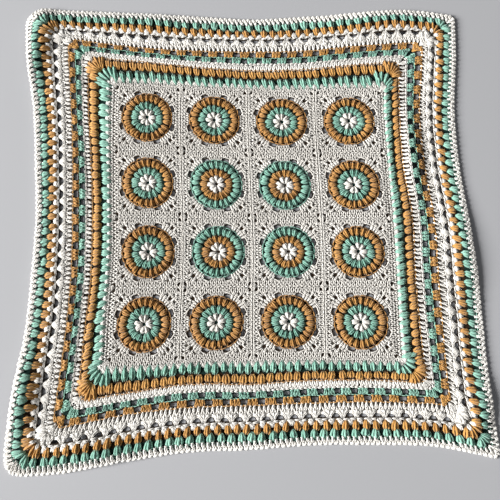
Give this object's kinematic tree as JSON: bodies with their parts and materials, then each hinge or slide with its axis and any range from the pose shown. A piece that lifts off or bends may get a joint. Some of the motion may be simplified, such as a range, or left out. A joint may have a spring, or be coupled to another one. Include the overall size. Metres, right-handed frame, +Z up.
{
  "type": "crocheted lap blanket",
  "caption": "Square crocheted lap blanket of round puff motifs in white squares, with white, teal and mustard border rounds, lying flat.",
  "frame": {"origin": "on the floor, under the middle of the box around the blanket as it lies", "axes": "+Z up, the blanket's thickness; +Y towards the picture's top edge, +X to its right"},
  "size_m": [0.8252, 0.8326, 0.0184],
  "materials": {
    "white_yarn": "matt twisted cotton yarn, warm white",
    "teal_yarn": "matt twisted cotton yarn, pale teal",
    "mustard_yarn": "matt twisted cotton yarn, mustard"
  },
  "bodies": {
    "root": {"motif_1_1": "mustard_yarn", "motif_1_2": "mustard_yarn", "motif_1_3": "mustard_yarn", "motif_1_4": "mustard_yarn", "motif_2_1": "mustard_yarn", "motif_2_2": "teal_yarn", "motif_2_3": "teal_yarn", "motif_2_4": "mustard_yarn", "motif_3_1": "mustard_yarn", "motif_3_2": "teal_yarn", "motif_3_3": "teal_yarn", "motif_3_4": "mustard_yarn", "motif_4_1": "mustard_yarn", "motif_4_2": "mustard_yarn", "motif_4_3": "mustard_yarn", "motif_4_4": "mustard_yarn", "square_1_1": "white_yarn", "square_1_2": "white_yarn", "square_1_3": "white_yarn", "square_1_4": "white_yarn", "square_2_1": "white_yarn", "square_2_2": "white_yarn", "square_2_3": "white_yarn", "square_2_4": "white_yarn", "square_3_1": "white_yarn", "square_3_2": "white_yarn", "square_3_3": "white_yarn", "square_3_4": "white_yarn", "square_4_1": "white_yarn", "square_4_2": "white_yarn", "square_4_3": "white_yarn", "square_4_4": "white_yarn", "round_01_double_crochet": "white_yarn", "round_02_puffs": "teal_yarn", "round_03_puffs": "mustard_yarn", "round_04_double_crochet": "white_yarn", "round_05_blocks": "teal_yarn", "round_06_blocks": "mustard_yarn", "round_07_puff_lace": "white_yarn", "round_08_puffs": "mustard_yarn", "round_09_puffs": "teal_yarn", "round_10_corded_edge": "white_yarn"}
  },
  "joints": []
}
